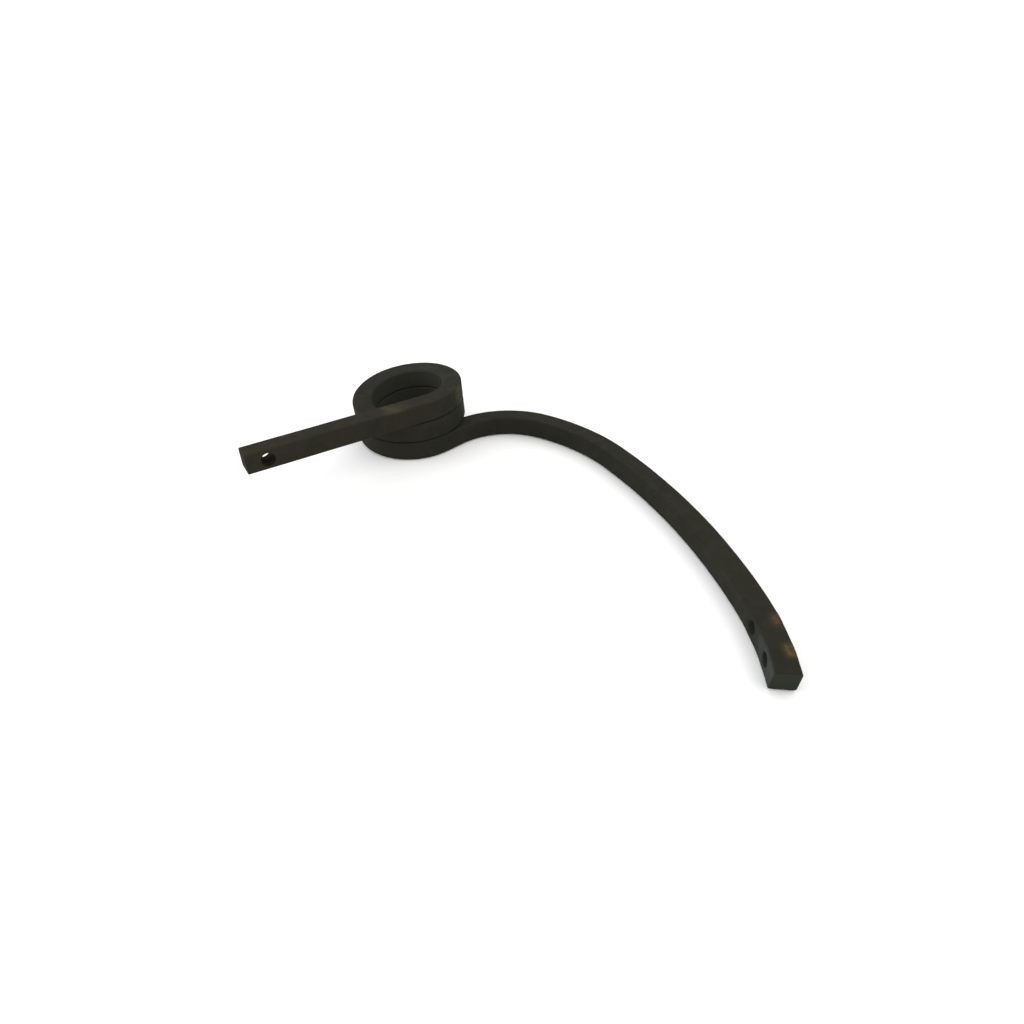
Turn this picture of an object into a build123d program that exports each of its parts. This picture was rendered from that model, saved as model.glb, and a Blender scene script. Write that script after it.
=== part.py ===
from build123d import *

import os
from math import cos, pi, tan

# Square bar that the whole tine is bent from, in millimetres
bar_width = 25.0
bar_corner_radius = 2.5
end_chamfer = 0.8

# Coil: left-handed, wound almost shut, going down from the shank to the leg
coil_inner_radius = 48.5
coil_gap = 2.0
coil_full_turns = 2
coil_extra_angle = 11.0

# Straight shank, which the clamp on the cultivator's frame holds
shank_length = 233.0
shank_hole_diameter = 17.0
shank_hole_from_end = 25.0
shank_hole_rim_chamfer = 0.3

# Leg: a short straight, then bends that all turn away from the coil's winding
leg_straight = 30.0
knee_radius = 97.0
knee_angle = 72.5
thigh_radius = 240.0
thigh_angle = 29.5
shin_radius = 745.0
shin_angle = 22.0
toe_radius = 350.0
toe_plain_length = 18.7

# Tip: a spare length is sheared off with a lean, so the upper edge reaches past the lower
tip_cut_lean = 9.0
tip_spare_length = 6.0

# Two punched holes for the bolts of the share, both on the toe bend
share_hole_diameter = 14.0
share_hole_from_tip = 25.0
share_hole_spacing = 40.0
share_hole_rim_chamfer = 1.0

# The punch drove the upper and lower sides of the bar outward beside each share hole
swell_past_hole = 7.0
swell_height = 0.9
swell_steps = 6

# Sizes that follow from the ones above
coil_mean_radius = coil_inner_radius + bar_width / 2
coil_pitch = bar_width + coil_gap
coil_height = coil_pitch * (coil_full_turns + coil_extra_angle / 360)
swell_length = share_hole_diameter + 2 * swell_past_hole
length_between_swells = share_hole_spacing - swell_length
length_past_last_swell = share_hole_from_tip - swell_length / 2
tip_line_length = length_past_last_swell + tip_spare_length

# Two cuts that make each rolled corner of the bar three flats, all touching the corner's radius
middle_flat_cut = bar_corner_radius * (1 - tan(pi / 8))
side_flat_cut = bar_corner_radius * (tan(pi / 8) - tan(pi / 16))


def toward_coil_axis(point):
    """Unit vector from a point of the coil's centre line straight in to its vertical axis."""
    return Vector(-point.X, -point.Y, 0).normalized()


def toe_bend(line_before, length):
    """Arc with the toe's radius, tangent to the end of the line before it."""
    angle = length / toe_radius * 180 / pi
    return JernArc(line_before @ 1, line_before % 1, toe_radius, -angle)


def bar_section(plane, growth=0.0):
    """Section of the bar on a plane, taller by the growth on its upper and lower sides."""
    with BuildSketch(plane) as section:
        Rectangle(bar_width, bar_width + 2 * growth)
        chamfer(section.vertices(), length=middle_flat_cut)
        chamfer(section.vertices(), length=side_flat_cut)
    return section.sketch


def across_leg(line, share):
    """Plane square to a leg line at a share of its length, with its y direction up."""
    tangent = line % share
    return Plane(origin=line @ share, x_dir=leg_up.cross(tangent), z_dir=tangent)


# Centre line of the coil, from its upper end to its foot
with BuildLine() as coil_line:
    Helix(coil_pitch, coil_height, coil_mean_radius, direction=(0, 0, -1), lefthand=True)
coil_path = coil_line.line
coil_top = coil_path @ 0
coil_foot = coil_path @ 1
shank_direction = coil_path % 0
shank_hole_axis = toward_coil_axis(coil_top)
shank_hole_center = coil_top - shank_direction * (shank_length - shank_hole_from_end)

# The leg's plane holds the foot's tangent and the direction from the foot to the coil's axis
foot_direction = coil_path % 1
foot_inward = toward_coil_axis(coil_foot)
leg_up = foot_direction.cross(foot_inward)
leg_plane = Plane(origin=coil_foot, x_dir=foot_direction, z_dir=leg_up)

# Centre line of the leg, with each swollen stretch and what follows it as a line of its own
with BuildLine(leg_plane) as leg_line:
    straight = Line((0, 0), (leg_straight, 0))
    knee = JernArc(straight @ 1, straight % 1, knee_radius, -knee_angle)
    thigh = JernArc(knee @ 1, knee % 1, thigh_radius, -thigh_angle)
    shin = JernArc(thigh @ 1, thigh % 1, shin_radius, -shin_angle)
    toe_start = toe_bend(shin, toe_plain_length)
with BuildLine(leg_plane) as upper_swell_line:
    upper_swell = toe_bend(toe_start, swell_length)
with BuildLine(leg_plane) as middle_line:
    toe_middle = toe_bend(upper_swell, length_between_swells)
with BuildLine(leg_plane) as lower_swell_line:
    lower_swell = toe_bend(toe_middle, swell_length)
with BuildLine(leg_plane) as tip_line:
    toe_tip = toe_bend(lower_swell, tip_line_length)
tip_middle = across_leg(toe_tip, length_past_last_swell / tip_line_length)
tip_cut = tip_middle.rotated((tip_cut_lean, 0, 0))

# The bent bar, with the coil's axis on Z
with BuildPart() as bent_bar:
    # Coil, and the shank straight back from its upper end
    top_section = bar_section(Plane(origin=coil_top, x_dir=shank_hole_axis, z_dir=shank_direction))
    sweep(sections=top_section, path=coil_path, is_frenet=True)
    extrude(top_section, amount=-shank_length)

    # Stretches of the leg where the bar keeps its plain section
    for plain_line in (leg_line.line, middle_line.line, tip_line.line):
        sweep(sections=bar_section(across_leg(plain_line, 0)), path=plain_line)

    # Swollen stretches, highest half way along, beside the middle of the hole
    for swell_line in (upper_swell_line.line, lower_swell_line.line):
        swell_sections = []
        for step in range(swell_steps + 1):
            share = step / swell_steps
            growth = swell_height * (1 - cos(2 * pi * share)) / 2
            swell_sections.append(bar_section(across_leg(swell_line, share), growth))
        sweep(sections=swell_sections, path=swell_line, multisection=True)

    # Spare length past the leaning cut, taken off
    with BuildSketch(tip_cut):
        Rectangle(2 * bar_width, 2 * bar_width)
    extrude(amount=bar_width, mode=Mode.SUBTRACT)

    # Broken edges at the two cut ends
    flat_faces = bent_bar.faces().filter_by(GeomType.PLANE)
    shank_end = flat_faces.sort_by_distance(coil_top - shank_direction * shank_length)[0]
    leg_end = flat_faces.sort_by_distance(tip_cut.origin)[0]
    chamfer(shank_end.edges() + leg_end.edges(), length=end_chamfer)

    # Bolt hole of the shank, which points at the coil's axis
    with BuildSketch(Plane(origin=shank_hole_center, x_dir=shank_direction, z_dir=shank_hole_axis)):
        Circle(shank_hole_diameter / 2)
    extrude(amount=bar_width, both=True, mode=Mode.SUBTRACT)
    rims = bent_bar.edges(Select.LAST).filter_by(GeomType.CIRCLE)
    chamfer(rims, length=shank_hole_rim_chamfer)

    # Share holes, square to the bar at the middle of each swell
    for swell_line in (upper_swell_line.line, lower_swell_line.line):
        hole_axis = leg_up.cross(swell_line % 0.5)
        with BuildSketch(Plane(origin=swell_line @ 0.5, x_dir=leg_up, z_dir=hole_axis)):
            Circle(share_hole_diameter / 2)
        extrude(amount=bar_width, both=True, mode=Mode.SUBTRACT)
        wall = bent_bar.faces(Select.LAST).filter_by(GeomType.CYLINDER)[0]
        rims = wall.edges().filter_by(GeomType.LINE, reverse=True)
        chamfer(rims, length=share_hole_rim_chamfer)

# At rest the leg lies flat, so its plane is level; the origin is in the shank's hole
rest_plane = Plane(origin=shank_hole_center, x_dir=shank_direction, z_dir=leg_up)
with BuildPart() as spring_tine:
    add(rest_plane.to_local_coords(bent_bar.part))
spring_tine.part.label = "spring_tine"

os.makedirs("parts", exist_ok=True)
export_step(spring_tine.part, "parts/spring_tine.step")
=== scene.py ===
import math

import bmesh
import bpy
import numpy as np
from mathutils import Matrix, Vector, noise


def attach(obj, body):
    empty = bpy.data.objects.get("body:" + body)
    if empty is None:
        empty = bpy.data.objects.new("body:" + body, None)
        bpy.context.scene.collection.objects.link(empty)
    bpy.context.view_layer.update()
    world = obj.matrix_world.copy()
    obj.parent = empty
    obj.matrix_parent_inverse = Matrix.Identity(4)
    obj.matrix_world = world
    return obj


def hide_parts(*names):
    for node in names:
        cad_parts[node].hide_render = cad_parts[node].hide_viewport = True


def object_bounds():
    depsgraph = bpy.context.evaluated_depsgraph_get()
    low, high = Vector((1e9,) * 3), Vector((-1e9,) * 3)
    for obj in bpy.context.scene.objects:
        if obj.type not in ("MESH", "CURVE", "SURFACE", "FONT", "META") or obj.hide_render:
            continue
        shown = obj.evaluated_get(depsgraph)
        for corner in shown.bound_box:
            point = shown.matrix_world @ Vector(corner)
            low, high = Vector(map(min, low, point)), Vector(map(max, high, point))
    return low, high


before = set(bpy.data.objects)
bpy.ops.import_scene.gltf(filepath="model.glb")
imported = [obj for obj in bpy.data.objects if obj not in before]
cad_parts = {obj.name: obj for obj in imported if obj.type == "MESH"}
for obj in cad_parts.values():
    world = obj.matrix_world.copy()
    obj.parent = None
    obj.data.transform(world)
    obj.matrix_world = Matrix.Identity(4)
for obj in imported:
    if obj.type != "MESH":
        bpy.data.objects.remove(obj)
cad_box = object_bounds()

# Sizes of the bar and its path, in metres, as in the part's source; each bend of the leg has its
# radius and its angle in degrees
BAR = 0.025
HALF_BAR = BAR / 2
CORNER = 0.0025
COIL_RADIUS = 0.061
COIL_PITCH = 0.027
COIL_TURN = math.radians(2 * 360 + 11)
COIL_LENGTH = COIL_TURN * math.hypot(COIL_RADIUS, COIL_PITCH / (2 * math.pi))
SHANK_LENGTH = 0.233
SHANK_HOLE_RADIUS = 0.0085
SHANK_HOLE_RIM = 0.0003
SHANK_HOLE_FROM_END = 0.025
LEG_STRAIGHT = 0.030
LEG_BENDS = [(0.097, 72.5), (0.240, 29.5), (0.745, 22.0)]
TOE_RADIUS = 0.350
TOE_LENGTH = 0.0977
SHARE_HOLE_RADIUS = 0.007
SHARE_HOLE_RIM = 0.001
SHARE_HOLES_FROM_TIP = (0.025, 0.065)
SWELL_LENGTH = 0.028
SWELL_HEIGHT = 0.0009
TIP_LEAN = math.tan(math.radians(9.0))

# Length over which the last sections lean over to the tip's angle
TIP_LEAN_LENGTH = 0.010

# Forms that are too slight for the solids: the turns stand a little taller toward each other,
# the share holes' mouths are dished, the ends are rounded and the rolled surface is uneven
TURN_SWELL = 0.0007
TURN_RAMP = 0.060
DISH_DEPTH = 0.0004
DISH_REACH = 0.006
END_ROUND = 0.0009
BROAD_WAVES, BROAD_HEIGHT = 22.0, 0.00013
FINE_WAVES, FINE_HEIGHT = 120.0, 0.00005
FINE_OFFSET = Vector((5.0, 1.0, 9.0))

# How finely the mesh is divided; the supports are points close beside each rounded corner
RING_STEP = 0.0025
TOE_RING_STEP = 0.00125
CORNER_STEPS = 5
SIDE_POINTS = 8
SUPPORT = 0.0005
END_STEPS = 3
END_CLEARANCE = 1.2 * END_ROUND
END_FACE_RINGS = (0.93, 0.75, 0.5, 0.25)
HOLE_SEGMENTS = 72
RIM_STEPS = 4
WALL_RINGS = (0.6, 0.3, 0.0)
SHARP_ANGLE = math.radians(38)
POINTS_AT_ONCE = 2000

# How far a hole's cutter reaches past the bar, and how much wider it gets there
CUTTER_PAST = 0.004
CUTTER_FLARE = 0.003


def unit(v):
    return v / np.linalg.norm(v)


def smoothstep(share):
    """Smooth rise from 0 to 1 as the share does, held at both ends."""
    share = min(1.0, max(0.0, share))
    return share * share * (3 - 2 * share)


def helix_point(t):
    """Point of the coil's centre line after t radians of winding, from its upper end."""
    return np.array([-COIL_RADIUS * math.cos(t), -COIL_RADIUS * math.sin(t),
                     -COIL_PITCH * t / (2 * math.pi)])


def helix_tangent(t):
    return unit(np.array([COIL_RADIUS * math.sin(t), -COIL_RADIUS * math.cos(t),
                          -COIL_PITCH / (2 * math.pi)]))


def helix_inward(t):
    return np.array([math.cos(t), math.sin(t), 0.0])


def shank_places():
    """Point, side and up direction at each step along the shank, from its end to the coil."""
    top, direction, side = helix_point(0.0), helix_tangent(0.0), helix_inward(0.0)
    up = np.cross(direction, side)
    count = round(SHANK_LENGTH / RING_STEP)
    for i in range(count):
        yield top - direction * SHANK_LENGTH * (1 - i / count), side, up


def coil_places():
    """Point, side and up direction at each step down the coil."""
    count = round(COIL_LENGTH / RING_STEP)
    for i in range(count):
        t = COIL_TURN * i / count
        yield helix_point(t), helix_inward(t), np.cross(helix_tangent(t), helix_inward(t))


def leg_places():
    """Point, side and up direction at each step along the leg, from the coil to the tip."""
    foot, onward, inward = (helix_point(COIL_TURN), helix_tangent(COIL_TURN),
                            helix_inward(COIL_TURN))
    up = np.cross(onward, inward)
    stretches = [(LEG_STRAIGHT, 0.0, RING_STEP)]
    stretches += [(radius * math.radians(angle), -1 / radius, RING_STEP)
                  for radius, angle in LEG_BENDS]
    stretches += [(TOE_LENGTH, -1 / TOE_RADIUS, TOE_RING_STEP)]
    ahead = aside = heading = 0.0

    def place():
        side = -math.sin(heading) * onward + math.cos(heading) * inward
        return foot + ahead * onward + aside * inward, side, up

    for length, curvature, ring_step in stretches:
        count = round(length / ring_step)
        step = length / count
        for i in range(count):
            yield place()
            middle = heading + curvature * step / 2
            ahead += step * math.cos(middle)
            aside += step * math.sin(middle)
            heading += curvature * step
    yield place()


def build_path():
    """Points, side and up directions along the bar at rest, and distances from its end."""
    places = [*shank_places(), *coil_places(), *leg_places()]
    points, sides, ups = (np.array(column) for column in zip(*places))

    # At rest the leg lies level, and the origin is in the shank's hole
    shank_direction = helix_tangent(0.0)
    hole = helix_point(0.0) - shank_direction * (SHANK_LENGTH - SHANK_HOLE_FROM_END)
    z_axis = ups[-1]
    x_axis = unit(shank_direction - np.dot(shank_direction, z_axis) * z_axis)
    turn = np.stack([x_axis, np.cross(z_axis, x_axis), z_axis])
    points = (points - hole) @ turn.T
    steps = np.linalg.norm(np.diff(points, axis=0), axis=1)
    return points, sides @ turn.T, ups @ turn.T, np.concatenate([[0.0], np.cumsum(steps)])


PATH, SIDE, UP, ALONG = build_path()
FORWARD = np.cross(SIDE, UP)
BAR_LENGTH = float(ALONG[-1])


def swell_at(s):
    """How far the punched holes push out the upper and lower sides of the bar."""
    growth = 0.0
    for back in SHARE_HOLES_FROM_TIP:
        share = (s - (BAR_LENGTH - back)) / SWELL_LENGTH
        if abs(share) < 0.5:
            growth += SWELL_HEIGHT * (1 + math.cos(2 * math.pi * share)) / 2
    return growth


def turn_swell_at(s):
    """How far the upper and the lower side stand out toward the next turn of the coil."""
    coil_end = SHANK_LENGTH + COIL_LENGTH
    one_turn = COIL_LENGTH * 2 * math.pi / COIL_TURN

    def between(start, end):
        share = min((s - start) / TURN_RAMP + 1, (end - s) / TURN_RAMP + 1, 1.0)
        return TURN_SWELL * max(0.0, share)

    return (between(SHANK_LENGTH + one_turn, coil_end),
            between(SHANK_LENGTH, coil_end - one_turn))


def lean_at(s):
    """Part of the tip's lean that the section has reached at a distance along the bar."""
    return TIP_LEAN * smoothstep((s - BAR_LENGTH + TIP_LEAN_LENGTH) / TIP_LEAN_LENGTH)


def dish_at(s, x, y):
    """How far the punch pulled the hollow and outer sides in around a share hole's mouth."""
    if abs(x) < HALF_BAR - CORNER / 2:
        return 0.0
    depth = 0.0
    for back in SHARE_HOLES_FROM_TIP:
        past_rim = math.hypot(s - (BAR_LENGTH - back), y) - SHARE_HOLE_RADIUS
        depth += DISH_DEPTH * smoothstep(1 - past_rim / DISH_REACH)
    return depth


def section_outline():
    """Points of the rounded square, counter-clockwise, each corner and then the side after it."""
    corners = ((1, 1), (-1, 1), (-1, -1), (1, -1))
    runs = ((-1, 0), (0, -1), (1, 0), (0, 1))
    flat = BAR - 2 * CORNER
    outline = []
    for quarter, ((sx, sy), (run_x, run_y)) in enumerate(zip(corners, runs)):
        for i in range(CORNER_STEPS + 1):
            angle = quarter * math.pi / 2 + i / CORNER_STEPS * math.pi / 2
            outline.append((sx * (HALF_BAR - CORNER) + CORNER * math.cos(angle),
                            sy * (HALF_BAR - CORNER) + CORNER * math.sin(angle)))
        last_x, last_y = outline[-1]
        for k in range(SIDE_POINTS + 1):
            run = SUPPORT + (flat - 2 * SUPPORT) * k / SIDE_POINTS
            outline.append((last_x + run_x * run, last_y + run_y * run))
    return outline


OUTLINE = section_outline()
RING = len(OUTLINE)


def uneven(point):
    """Small unevenness of a hot-rolled, hot-bent bar, in metres."""
    v = Vector(point)
    return (noise.noise(v * BROAD_WAVES) * BROAD_HEIGHT
            + noise.noise(v * FINE_WAVES + FINE_OFFSET) * FINE_HEIGHT)


def ring_points(i, inset=0.0, shift=0.0, scale=1.0):
    """Section points at one place on the path, pulled in by the inset or scaled to the middle."""
    centre = PATH[i] + FORWARD[i] * shift
    growth, lean = swell_at(ALONG[i]), lean_at(ALONG[i])
    above, below = turn_swell_at(ALONG[i])
    shrink = (HALF_BAR - inset) / HALF_BAR * scale
    points = []
    for x, y in OUTLINE:
        dish = dish_at(ALONG[i], x, y)
        inward = (x - math.copysign(dish, x)) * shrink
        upward = y * (HALF_BAR + growth + (above if y > 0 else below)) / HALF_BAR * shrink
        points.append(centre + SIDE[i] * inward + UP[i] * upward + FORWARD[i] * upward * lean)
    return points


def add_ring(bm, points):
    """Mesh points of one ring, each moved out or in by the bar's unevenness."""
    centre = np.mean(points, axis=0)
    return [bm.verts.new(p + unit(p - centre) * uneven(p)) for p in points]


def join_rings(bm, first, second):
    """Quads between two rings with as many points."""
    for k in range(len(first)):
        after = (k + 1) % len(first)
        bm.faces.new((first[k], first[after], second[after], second[k]))


def close_end(bm, i, direction, edge):
    """Rounded edge and flat face of one end, from the edge's ring in to the middle."""
    sections = []
    for step in range(1, END_STEPS + 1):
        angle = step / END_STEPS * math.pi / 2
        inset = END_ROUND * (1 - math.cos(angle))
        shift = direction * END_ROUND * (math.sin(angle) - 1)
        sections.append(ring_points(i, inset, shift))
    sections += [ring_points(i, END_ROUND, scale=scale) for scale in END_FACE_RINGS]
    chain = [edge] + [add_ring(bm, points) for points in sections]
    for outer, inner in zip(chain, chain[1:]):
        if direction > 0:
            join_rings(bm, outer, inner)
        else:
            join_rings(bm, inner, outer)
    middle = bm.verts.new(PATH[i])
    inmost = chain[-1]
    for k in range(RING):
        pair = (inmost[k], inmost[(k + 1) % RING])
        bm.faces.new((*pair, middle) if direction > 0 else (*reversed(pair), middle))


def new_object(name, bm):
    """Object made from a bmesh, which is freed, and linked to the scene."""
    mesh = bpy.data.meshes.new(name)
    bm.to_mesh(mesh)
    bm.free()
    obj = bpy.data.objects.new(name, mesh)
    bpy.context.scene.collection.objects.link(obj)
    return obj


def build_bar():
    """The whole bar as one closed skin, before its holes are cut."""
    bm = bmesh.new()
    last = len(PATH) - 1
    body = [i for i in range(len(PATH))
            if END_CLEARANCE < ALONG[i] < BAR_LENGTH - END_CLEARANCE]
    start_edge = add_ring(bm, ring_points(0, shift=END_ROUND))
    tip_edge = add_ring(bm, ring_points(last, shift=-END_ROUND))
    rings = [start_edge] + [add_ring(bm, ring_points(i)) for i in body] + [tip_edge]
    for first, second in zip(rings, rings[1:]):
        join_rings(bm, first, second)
    close_end(bm, 0, -1, start_edge)
    close_end(bm, last, 1, tip_edge)
    bmesh.ops.recalc_face_normals(bm, faces=bm.faces)
    return new_object("tine_bar", bm)


def place_at(s):
    """Centre, side, up and forward directions at a distance along the bar."""
    i = int(np.argmin(np.abs(ALONG - s)))
    centre = PATH[i] + FORWARD[i] * (s - ALONG[i])
    return centre, SIDE[i], UP[i], FORWARD[i]


def hole_cutter(name, s, radius, rim):
    """A spool that cuts a hole with rounded rims through the hollow and outer sides."""
    centre, side, up, forward = place_at(s)
    profile = [(HALF_BAR + CUTTER_PAST, radius + rim + CUTTER_FLARE)]
    for step in range(RIM_STEPS + 1):
        sine = math.sin(step / RIM_STEPS * math.pi / 2)
        profile.append((HALF_BAR - rim * sine, radius + rim * (1 - sine)))
    profile += [(HALF_BAR * share, radius) for share in WALL_RINGS]
    profile += [(-out, r) for out, r in reversed(profile[:-1])]
    bm = bmesh.new()
    rings = []
    for out, r in profile:
        ring = []
        for k in range(HOLE_SEGMENTS):
            angle = 2 * math.pi * k / HOLE_SEGMENTS
            point = centre + side * out + (up * math.cos(angle) + forward * math.sin(angle)) * r
            ring.append(bm.verts.new(point))
        rings.append(ring)
    for first, second in zip(rings, rings[1:]):
        join_rings(bm, first, second)
    bm.faces.new(rings[0])
    bm.faces.new(list(reversed(rings[-1])))
    bmesh.ops.recalc_face_normals(bm, faces=bm.faces)
    return new_object(name, bm)


def cut_holes(bar):
    """Cuts the shank's hole and the two share holes, one after the other."""
    places = [(SHANK_HOLE_FROM_END, SHANK_HOLE_RADIUS, SHANK_HOLE_RIM)]
    places += [(BAR_LENGTH - back, SHARE_HOLE_RADIUS, SHARE_HOLE_RIM)
               for back in SHARE_HOLES_FROM_TIP]
    for n, (s, radius, rim) in enumerate(places):
        cutter = hole_cutter(f"cutter_{n}", s, radius, rim)
        cut = bar.modifiers.new(f"hole_{n}", "BOOLEAN")
        cut.operation = "DIFFERENCE"
        cut.solver = "EXACT"
        cut.object = cutter
        depsgraph = bpy.context.evaluated_depsgraph_get()
        cut_mesh = bpy.data.meshes.new_from_object(bar.evaluated_get(depsgraph))
        bar.modifiers.clear()
        whole_mesh = bar.data
        bar.data = cut_mesh
        bpy.data.meshes.remove(whole_mesh)
        bpy.data.objects.remove(cutter, do_unlink=True)


def mark_places(bar):
    """Stores on each point where it lies on the bar, for the material to use."""
    mesh = bar.data
    points = np.empty(len(mesh.vertices) * 3, dtype=np.float32)
    mesh.vertices.foreach_get("co", points)
    points = points.reshape(-1, 3).astype(float)
    nearest = np.empty(len(points), dtype=int)
    for start in range(0, len(points), POINTS_AT_ONCE):
        some = points[start:start + POINTS_AT_ONCE]
        squares = ((some[:, None, :] - PATH[None, :, :]) ** 2).sum(2)
        nearest[start:start + POINTS_AT_ONCE] = squares.argmin(1)
    offset = points - PATH[nearest]
    along = ALONG[nearest] + (offset * FORWARD[nearest]).sum(1)
    across = (offset * SIDE[nearest]).sum(1)
    height = (offset * UP[nearest]).sum(1)
    edge = np.minimum(np.abs(across), np.abs(height)) / HALF_BAR
    marks = {"along": along, "across": across, "height": height, "edge": edge}
    for name, values in marks.items():
        layer = mesh.attributes.new(name, "FLOAT", "POINT")
        layer.data.foreach_set("value", values.astype(np.float32))


def shade(bar):
    """Smooth faces, with a crease where two faces meet at more than the sharp angle."""
    bm = bmesh.new()
    bm.from_mesh(bar.data)
    for face in bm.faces:
        face.smooth = True
    for edge in bm.edges:
        edge.smooth = not (len(edge.link_faces) == 2 and edge.calc_face_angle(0.0) > SHARP_ANGLE)
    bm.to_mesh(bar.data)
    bm.free()


bar = build_bar()
cut_holes(bar)
mark_places(bar)
shade(bar)


class Nodes:
    """A material's node tree, with short calls for the nodes that are used here."""

    def __init__(self, name):
        self.material = bpy.data.materials.new(name)
        self.material.use_nodes = True
        self.tree = self.material.node_tree
        self.tree.nodes.clear()
        output = self.node("ShaderNodeOutputMaterial")
        self.shader = self.node("ShaderNodeBsdfPrincipled")
        self.tree.links.new(self.shader.outputs[0], output.inputs["Surface"])
        self.place = self.node("ShaderNodeTexCoord").outputs["Object"]

    def node(self, kind, **values):
        node = self.tree.nodes.new(kind)
        for key, value in values.items():
            setattr(node, key, value)
        return node

    def fill(self, socket, value):
        """Links another node's output to a socket, or sets the socket to a constant."""
        if isinstance(value, bpy.types.NodeSocket):
            self.tree.links.new(value, socket)
        else:
            socket.default_value = value

    def fill_all(self, node, values):
        for name, value in values.items():
            self.fill(node.inputs[name], value)

    def noise(self, scale, detail, rough, distortion=0.0, vector=None):
        """Noise of about 0 to 1, in the object's own space unless a vector is given."""
        n = self.node("ShaderNodeTexNoise")
        self.fill_all(n, {"Vector": self.place if vector is None else vector, "Scale": scale,
                          "Detail": detail, "Roughness": rough, "Distortion": distortion})
        return n.outputs["Fac"]

    def math(self, operation, a, b=0.0, clamp=False):
        n = self.node("ShaderNodeMath", operation=operation, use_clamp=clamp)
        self.fill(n.inputs[0], a)
        self.fill(n.inputs[1], b)
        return n.outputs[0]

    def times(self, a, b, clamp=False):
        return self.math("MULTIPLY", a, b, clamp)

    def away(self, value, place):
        """Distance of a value from a place, on either side."""
        return self.math("ABSOLUTE", self.math("SUBTRACT", value, place))

    def span(self, value, start, end, to_start=0.0, to_end=1.0):
        """Smooth change between two levels, by default 0 to 1, as a value goes start to end."""
        n = self.node("ShaderNodeMapRange", interpolation_type="SMOOTHSTEP", clamp=True)
        self.fill_all(n, {"Value": value, "From Min": start, "From Max": end,
                          "To Min": to_start, "To Max": to_end})
        return n.outputs[0]

    def mix(self, share, a, b):
        n = self.node("ShaderNodeMix", data_type="RGBA")
        self.fill_all(n, {"Factor": share, "A": a, "B": b})
        return n.outputs["Result"]

    def attribute(self, name):
        return self.node("ShaderNodeAttribute", attribute_name=name).outputs["Fac"]

    def combine(self, x, y, z):
        n = self.node("ShaderNodeCombineXYZ")
        self.fill_all(n, {"X": x, "Y": y, "Z": z})
        return n.outputs[0]

    def bump(self, height, strength, distance, over=None):
        """Direction of the surface with a bump on it, laid over another one if it is given."""
        n = self.node("ShaderNodeBump")
        self.fill_all(n, {"Height": height, "Strength": strength, "Distance": distance})
        if over is not None:
            self.fill(n.inputs["Normal"], over)
        return n.outputs["Normal"]


def rgb(r, g, b):
    """Linear colour from display values of 0 to 255."""
    def linear(value):
        value = value / 255.0
        return value / 12.92 if value <= 0.04045 else ((value + 0.055) / 1.055) ** 2.4
    return (linear(r), linear(g), linear(b), 1.0)


# Colours of the steel, with those of its painted light and painted highlights
OLIVE_BLACK = rgb(31, 32, 26)
OLIVE_GREY = rgb(36, 36, 29)
BROWN_DRIFT = rgb(37, 35, 28)
BROWN_PATCH = rgb(40, 38, 31)
DARK_STREAK = rgb(28, 27, 22)
PALE_GRAIN = rgb(52, 49, 40)
TOP_LIGHT_TONE = rgb(38, 37, 30)
THIN_RUST = rgb(45, 39, 29)
SIDE_LIGHT_GREY = rgb(52, 56, 53)
GLINT_STRAW_DIM = rgb(54, 44, 31)
GLINT_STRAW = rgb(77, 65, 43)
OLIVE_HIGHLIGHT = rgb(56, 55, 36)
LIT_HOLE_GREY = rgb(47, 51, 46)
CUT_END_GREEN = rgb(44, 48, 40)
COIL_INSIDE_LIGHT = rgb(50, 51, 46)

# In what follows, a pair of distances in metres gives where a mark starts and where it is full.
# A mark on one side of the bar starts this far out from the bar's middle and is full there
NEAR_SIDE, ON_SIDE = 0.0105, 0.0122

# Places of marks and of painted highlights and painted light along the bar, from the shank's end,
# and their reach to either side
RUST_REACH = (0.115, 0.0)
SHANK_HIGHLIGHT_PLACE, SHANK_HIGHLIGHT_REACH = 0.186, (0.022, 0.004)
COIL_HIGHLIGHT_PLACE, COIL_HIGHLIGHT_REACH = 0.278, (0.010, 0.002)
COIL_INSIDE_START = (0.235, 0.260)
COIL_INSIDE_END = (1.010, 0.985)

# Places from the tip; each painted glint, a straw-brown painted highlight, has its place, its
# reach and its strength
SIDE_LIGHT_REACH = (0.072, 0.006)
PAINTED_GLINTS = ((0.060, 0.017, 0.70), (0.0245, 0.015, 0.95))
GLINT_CORE = 0.001
GLINT_ACROSS = (-0.004, 0.0065)
HOLES_START = (0.100, 0.090)
HOLES_END = (0.012, 0.015)
CUT_END_REACH = (0.006, 0.004)

# Distances from the bar's middle that tell the holes' walls and the cut end from its sides
INSIDE_HOLE = (0.0115, 0.0108)
INSIDE_CUT_END = (0.0122, 0.0112)

# Strength of some of the colours, and how much longer the streaks are than they are wide
TOP_LIGHT_STRENGTH = 0.45
RUST_STRENGTH = 0.75
CUT_END_STRENGTH = 0.85
COIL_INSIDE_LIGHT_STRENGTH = 0.8
STREAK_LENGTH = 1 / 0.12

# Roughness of the plain and the patchy coating, the change at the corners, and the specular
# level of the thin coating
PLAIN_ROUGH, PATCH_ROUGH, CORNER_CHANGE = 0.78, 0.62, -0.04
SHEEN = 0.06


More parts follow.
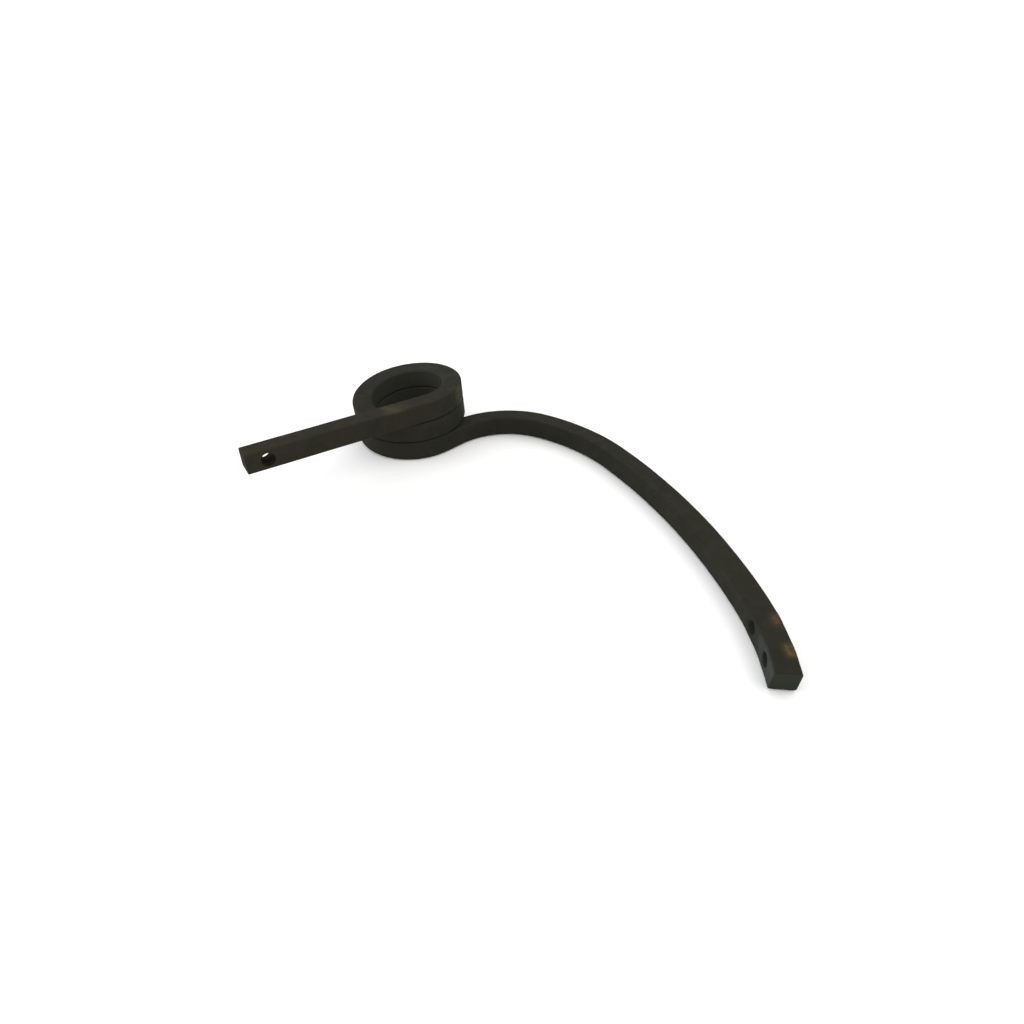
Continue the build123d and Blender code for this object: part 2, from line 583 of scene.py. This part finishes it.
class Steel(Nodes):
    """Thin dark coating on the bar, with painted light and painted highlights, made by laying one
    colour over another.
    """

    def __init__(self):
        super().__init__("oxide_coated_steel")
        self.along = self.attribute("along")
        self.across = self.attribute("across")
        self.height = self.attribute("height")
        self.from_tip = self.math("SUBTRACT", BAR_LENGTH, self.along)
        self.depth = self.math("MAXIMUM", self.math("ABSOLUTE", self.across),
                               self.math("ABSOLUTE", self.height))
        self.on_top = self.span(self.height, NEAR_SIDE, ON_SIDE)
        self.on_hollow_side = self.span(self.across, -NEAR_SIDE, -ON_SIDE)
        self.on_coil_side = self.span(self.across, NEAR_SIDE, ON_SIDE)
        self.inside_hole = self.span(self.depth, *INSIDE_HOLE)
        self.patch = self.noise(scale=75.0, detail=6.0, rough=0.62, distortion=0.4)
        self.grain = self.noise(scale=900.0, detail=3.0, rough=0.6)
        self.lay_coating()
        self.lay_rust()
        self.lay_painted_side_light()
        self.lay_painted_glints()
        self.lay_painted_olive_highlights()
        self.lay_holes_and_cut_end()
        self.lay_painted_coil_light()
        self.set_surface()

    def lay(self, share, colour):
        """Lays a colour over what is there, by a share of 0 to 1."""
        self.colour = self.mix(share, self.colour, colour)

    def lay_coating(self):
        """Olive-black, drifting to brown, with patches, streaks along the bar and fine grain, and
        painted light on the upper side.
        """
        broad = self.noise(scale=17.0, detail=4.0, rough=0.6)
        drift = self.noise(scale=9.0, detail=3.0, rough=0.5)
        drawn_out = self.combine(self.times(self.along, 1 / STREAK_LENGTH), self.across,
                                 self.height)
        streak = self.noise(scale=420.0, detail=4.0, rough=0.6, vector=drawn_out)
        self.colour = self.mix(self.span(broad, 0.36, 0.64), OLIVE_BLACK, OLIVE_GREY)
        self.lay(self.span(drift, 0.45, 0.62, to_end=0.8), BROWN_DRIFT)
        self.lay(self.span(self.patch, 0.5, 0.75, to_end=0.4), BROWN_PATCH)
        self.lay(self.span(streak, 0.52, 0.78, to_end=0.4), DARK_STREAK)
        self.lay(self.span(self.grain, 0.58, 0.75, to_end=0.35), PALE_GRAIN)
        # Painted light: the upper side is laid a little lighter, as if lit from above
        self.lay(self.times(self.on_top, TOP_LIGHT_STRENGTH), TOP_LIGHT_TONE)

    def lay_rust(self):
        """Thin, patchy rust at the shank's end, strongest on top."""
        near_end = self.times(self.span(self.along, *RUST_REACH), RUST_STRENGTH)
        patchy = self.span(self.patch, 0.35, 0.7, to_start=-0.35, to_end=0.35)
        rust = self.math("ADD", near_end, patchy, clamp=True)
        self.lay(self.times(rust, self.span(self.on_top, 0.0, 1.0, to_start=0.45)), THIN_RUST)

    def lay_painted_side_light(self):
        """Painted light: a cooler, lighter tone on the hollow side toward the tip, where that
        side catches the light.
        """
        lit_side = self.times(self.span(self.from_tip, *SIDE_LIGHT_REACH), self.on_hollow_side)
        lit_side = self.times(lit_side, self.span(self.patch, 0.3, 0.6, to_start=0.65))
        self.lay(lit_side, SIDE_LIGHT_GREY)

    def lay_painted_glints(self):
        """Painted highlights: straw-brown glints on top, on the outer half beside each share
        hole.
        """
        marks = []
        for place, reach, strength in PAINTED_GLINTS:
            near = self.span(self.away(self.from_tip, place), reach, GLINT_CORE)
            marks.append(self.times(near, strength))
        outer_half = self.times(self.span(self.across, *GLINT_ACROSS), self.on_top)
        glint = self.times(self.math("MAXIMUM", *marks), outer_half)
        patchy = self.span(self.patch, 0.28, 0.62, to_start=0.5, to_end=1.15)
        glint = self.times(glint, patchy, clamp=True)
        self.lay(self.span(glint, 0.0, 0.5, to_end=0.8), GLINT_STRAW_DIM)
        self.lay(self.span(glint, 0.42, 0.95), GLINT_STRAW)

    def lay_painted_olive_highlights(self):
        """Painted highlights in olive where the shank runs onto the coil, and down the coil's
        side after it.
        """
        on_shank = self.span(self.away(self.along, SHANK_HIGHLIGHT_PLACE), *SHANK_HIGHLIGHT_REACH)
        on_coil = self.span(self.away(self.along, COIL_HIGHLIGHT_PLACE), *COIL_HIGHLIGHT_REACH)
        highlight = self.math("MAXIMUM", self.times(on_shank, self.on_top),
                        self.times(on_coil, self.on_hollow_side))
        patchy = self.span(self.patch, 0.3, 0.6, to_start=0.25, to_end=0.75)
        self.lay(self.times(highlight, patchy, clamp=True), OLIVE_HIGHLIGHT)

    def lay_holes_and_cut_end(self):
        """Painted light: a cooler, lighter tone inside the share holes. A greener tone on the
        sheared tip's face.
        """
        at_holes = self.times(self.span(self.from_tip, *HOLES_START),
                              self.span(self.from_tip, *HOLES_END))
        self.lay(self.times(self.inside_hole, at_holes), LIT_HOLE_GREY)
        cut_end = self.times(self.span(self.depth, *INSIDE_CUT_END),
                             self.span(self.from_tip, *CUT_END_REACH))
        self.lay(self.times(cut_end, CUT_END_STRENGTH), CUT_END_GREEN)

    def lay_painted_coil_light(self):
        """Painted light: a lighter, cooler, evener tone on the side of the bar that faces the
        coil's middle, which lies in the coil's shade.
        """
        in_coil = self.times(self.span(self.along, *COIL_INSIDE_START),
                             self.span(self.along, *COIL_INSIDE_END))
        inside = self.times(self.on_coil_side, in_coil)
        self.lay(self.times(inside, COIL_INSIDE_LIGHT_STRENGTH), COIL_INSIDE_LIGHT)

    def set_surface(self):
        """Matt coating, a little smoother at the corners and fully rough in the holes."""
        rough = self.span(self.patch, 0.3, 0.75, PLAIN_ROUGH, PATCH_ROUGH)
        at_corner = self.span(self.attribute("edge"), 0.8, 1.0, to_end=CORNER_CHANGE)
        rough = self.math("ADD", rough, at_corner, clamp=True)
        rough = self.math("MAXIMUM", rough, self.inside_hole)
        bumps = self.bump(self.grain, strength=0.25, distance=0.0002)
        bumps = self.bump(self.patch, strength=0.35, distance=0.0006, over=bumps)
        self.fill_all(self.shader, {"Base Color": self.colour, "Roughness": rough,
                                    "Metallic": 0.0, "Specular IOR Level": SHEEN,
                                    "Normal": bumps})


bar.data.materials.append(Steel().material)
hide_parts("spring_tine")
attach(bar, "root")

# Stage, in metres: a wide pale floor just under the part, and what the lights point at
FLOOR_CENTRE = (0.2, -0.2)
FLOOR_REACH = 40.0
FLOOR_CELLS = 8
FLOOR_GAP = 0.0002
FLOOR_TONES = ((0.92, 0.92, 0.92, 1.0), (0.94, 0.94, 0.94, 1.0))
LIT_POINT = (0.2, -0.2, -0.03)
WORLD_COLOUR = (1.0, 1.0, 1.0, 1.0)
WORLD_STRENGTH = 1.14


def floor_material():
    n = Nodes("pale_floor")
    cloud = n.noise(scale=1.5, detail=2.0, rough=0.5)
    colour = n.mix(n.span(cloud, 0.3, 0.7), *FLOOR_TONES)
    n.fill_all(n.shader, {"Base Color": colour, "Roughness": 0.9, "Specular IOR Level": 0.1})
    return n.material


def make_floor(z):
    bm = bmesh.new()
    bmesh.ops.create_grid(bm, x_segments=FLOOR_CELLS, y_segments=FLOOR_CELLS, size=FLOOR_REACH)
    floor = new_object("floor", bm)
    floor.location = (*FLOOR_CENTRE, z)
    floor.data.materials.append(floor_material())
    return floor


def area_light(name, place, size, power, colour):
    """Rectangular light that points at the middle of the part."""
    data = bpy.data.lights.new(name, "AREA")
    data.shape = "RECTANGLE"
    data.size, data.size_y = size
    data.energy = power
    data.color = colour
    light = bpy.data.objects.new(name, data)
    light.location = place
    aim = Vector(LIT_POINT) - Vector(place)
    light.rotation_euler = aim.to_track_quat("-Z", "Y").to_euler()
    bpy.context.scene.collection.objects.link(light)


def light_world():
    """Even white light from all around, shown without a film look so that it stays white."""
    world = bpy.data.worlds.new("studio")
    world.use_nodes = True
    background = world.node_tree.nodes["Background"]
    background.inputs["Color"].default_value = WORLD_COLOUR
    background.inputs["Strength"].default_value = WORLD_STRENGTH
    bpy.context.scene.world = world
    bpy.context.scene.view_settings.view_transform = "Standard"


floor = make_floor(cad_box[0][2] - FLOOR_GAP)
area_light("key", place=(-1.9, 1.2, 1.0), size=(1.8, 1.4), power=26.0, colour=(0.95, 1.0, 0.98))
area_light("fill", place=(1.6, -1.2, 2.0), size=(2.0, 2.0), power=14.0, colour=(1.0, 0.96, 0.9))
light_world()

# Camera, found by fitting the modelled edges to those in the photograph
CAMERA_PLACE = (-0.128168, -0.730958, 0.416546)
CAMERA_HEADING = math.radians(32.229)
CAMERA_DROP = math.radians(36.190)
CAMERA_ROLL = math.radians(0.812)
CAMERA_LENS = 24.584
CAMERA_SENSOR = 36.0
CAMERA_REACH = 200.0


def make_camera():
    data = bpy.data.cameras.new("camera")
    data.sensor_width = CAMERA_SENSOR
    data.lens = CAMERA_LENS
    data.clip_end = CAMERA_REACH
    camera = bpy.data.objects.new("camera", data)
    turn = (Matrix.Rotation(-CAMERA_HEADING, 4, "Z")
            @ Matrix.Rotation(math.pi / 2 - CAMERA_DROP, 4, "X")
            @ Matrix.Rotation(-CAMERA_ROLL, 4, "Z"))
    camera.matrix_world = Matrix.Translation(CAMERA_PLACE) @ turn
    bpy.context.scene.collection.objects.link(camera)
    return camera


bpy.context.scene.camera = make_camera()
